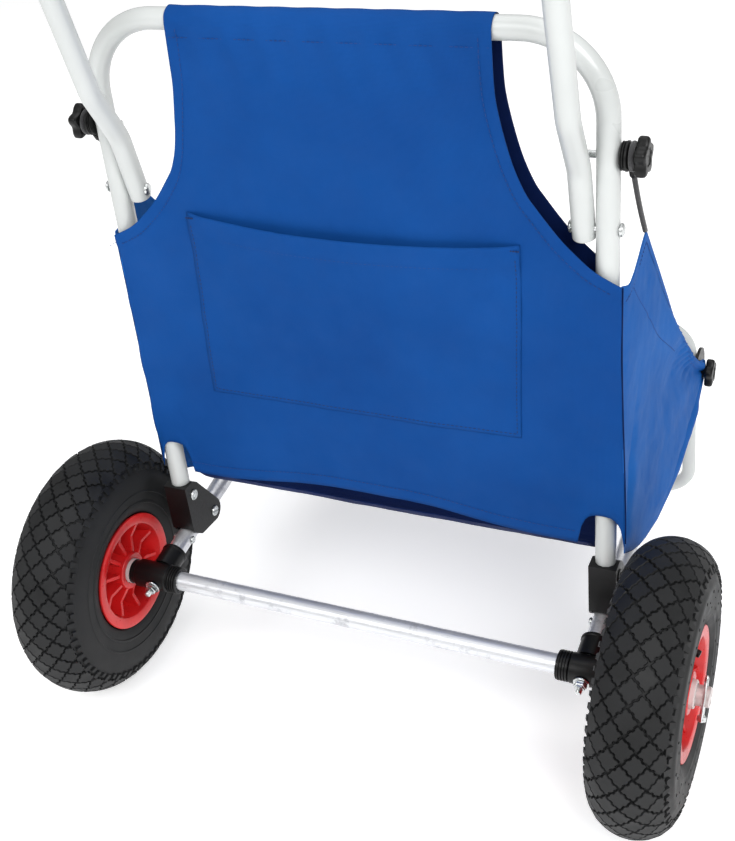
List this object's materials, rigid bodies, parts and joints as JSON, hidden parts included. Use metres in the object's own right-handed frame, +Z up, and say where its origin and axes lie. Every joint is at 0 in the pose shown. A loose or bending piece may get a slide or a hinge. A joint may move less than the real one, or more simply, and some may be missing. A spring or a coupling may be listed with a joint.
{
  "type": "two-wheeled folding beach cart",
  "caption": "Folding beach cart with pneumatic wheels, a tubular frame, a tilting U-handle, a front leg loop and a fabric bag.",
  "frame": {"origin": "on the floor, under the middle of the cart's bounding box", "axes": "+Z up, +X to the right of the person who pushes the cart, +Y forward, towards the leg loop"},
  "size_m": [0.657, 0.5796, 1.0389],
  "materials": {
    "white_enamel": "satin white enamel on steel tube",
    "bare_aluminium": "brushed aluminium tube with light scuffs",
    "zinc_steel": "zinc-plated steel",
    "black_plastic": "matte black moulded plastic",
    "tyre_rubber": "black rubber with block tread",
    "tube_rubber": "plain black rubber",
    "red_plastic": "glossy red moulded plastic",
    "pale_nylon": "pale nylon",
    "blue_cloth": "royal blue woven polyester",
    "black_elastic": "black braided elastic"
  },
  "bodies": {
    "lower_frame": {"lower_tube_left": "bare_aluminium", "lower_tube_right": "bare_aluminium", "lower_tube_screw_left": "zinc_steel", "lower_tube_screw_right": "zinc_steel", "leg_plate_left": "black_plastic", "leg_plate_right": "black_plastic", "leg_plate_rivet_left": "zinc_steel", "leg_plate_rivet_right": "zinc_steel", "axle_stub_left": "zinc_steel", "axle_stub_right": "zinc_steel", "tee_left": "black_plastic", "tee_right": "black_plastic", "tee_collar_left": "black_plastic", "tee_collar_right": "black_plastic", "tee_bolt_left": "zinc_steel", "tee_bolt_right": "zinc_steel", "tee_nut_left": "zinc_steel", "tee_nut_right": "zinc_steel", "fold_bolt_left": "zinc_steel", "fold_bolt_right": "zinc_steel", "bag_gusset_left": "blue_cloth", "bag_gusset_right": "blue_cloth", "axle_tube": "bare_aluminium", "bag_bottom": "blue_cloth", "bag_front": "blue_cloth"},
    "back_frame": {"back_frame": "white_enamel", "back_cover": "blue_cloth", "pocket": "blue_cloth", "hinge_bracket_left": "black_plastic", "hinge_bracket_right": "black_plastic", "bracket_bolt_left": "zinc_steel", "bracket_bolt_right": "zinc_steel", "handle_pivot_bolt_left": "zinc_steel", "handle_pivot_bolt_right": "zinc_steel", "knob_saddle_left": "black_plastic", "knob_saddle_right": "black_plastic", "elastic_cord_left": "black_elastic", "elastic_cord_right": "black_elastic"},
    "handle": {"handle": "white_enamel"},
    "leg_loop": {"leg_loop": "white_enamel", "leg_bolt_left": "zinc_steel", "leg_bolt_right": "zinc_steel"},
    "wheel_left": {"tyre_left": "tyre_rubber", "inner_tube_left": "tube_rubber", "rim_left": "red_plastic", "hub_bush_left": "pale_nylon", "valve_left": "black_plastic"},
    "handle_knob_left": {"handle_knob_left": "black_plastic", "lock_bolt_left": "zinc_steel"},
    "leg_knob_left": {"leg_knob_left": "black_plastic"},
    "linch_pin_left": {"linch_pin_left": "zinc_steel"},
    "wheel_right": {"tyre_right": "tyre_rubber", "inner_tube_right": "tube_rubber", "rim_right": "red_plastic", "hub_bush_right": "pale_nylon", "valve_right": "black_plastic"},
    "handle_knob_right": {"handle_knob_right": "black_plastic", "lock_bolt_right": "zinc_steel"},
    "leg_knob_right": {"leg_knob_right": "black_plastic"},
    "linch_pin_right": {"linch_pin_right": "zinc_steel"}
  },
  "joints": [
    {"name": "back_fold", "type": "hinge", "parent": "lower_frame", "child": "back_frame", "pos_m": [0, -0.06276, 0.14355], "axis": [1, 0, 0], "range_deg": [-70, 0]},
    {"name": "handle_fold", "type": "hinge", "parent": "back_frame", "child": "handle", "pos_m": [0, -0.08266, 0.52013], "axis": [1, 0, 0], "range_deg": [0, 110]},
    {"name": "leg_fold", "type": "hinge", "parent": "lower_frame", "child": "leg_loop", "pos_m": [0, 0.25708, 0.18822], "axis": [1, 0, 0], "range_deg": [0, 80], "deforming": ["bag_front"]},
    {"name": "wheel_spin_left", "type": "hinge", "parent": "lower_frame", "child": "wheel_left", "pos_m": [-0.282, -0.15982, 0.13], "axis": [1, 0, 0], "continuous": true},
    {"name": "handle_knob_turn_left", "type": "hinge", "parent": "back_frame", "child": "handle_knob_left", "pos_m": [-0.2333, -0.081, 0.57911], "axis": [1, 0, 0], "continuous": true},
    {"name": "leg_knob_turn_left", "type": "hinge", "parent": "leg_loop", "child": "leg_knob_left", "pos_m": [-0.235, 0.25708, 0.18822], "axis": [1, 0, 0], "continuous": true},
    {"name": "linch_pin_pull_left", "type": "slide", "parent": "lower_frame", "child": "linch_pin_left", "axis": [0, -0.5, -0.866], "range_m": [0, 0.03]},
    {"name": "wheel_spin_right", "type": "hinge", "parent": "lower_frame", "child": "wheel_right", "pos_m": [0.282, -0.15982, 0.13], "axis": [1, 0, 0], "continuous": true},
    {"name": "handle_knob_turn_right", "type": "hinge", "parent": "back_frame", "child": "handle_knob_right", "pos_m": [0.2333, -0.081, 0.57911], "axis": [1, 0, 0], "continuous": true},
    {"name": "leg_knob_turn_right", "type": "hinge", "parent": "leg_loop", "child": "leg_knob_right", "pos_m": [0.235, 0.25708, 0.18822], "axis": [1, 0, 0], "continuous": true},
    {"name": "linch_pin_pull_right", "type": "slide", "parent": "lower_frame", "child": "linch_pin_right", "axis": [0, -0.5, -0.866], "range_m": [0, 0.03]}
  ]
}
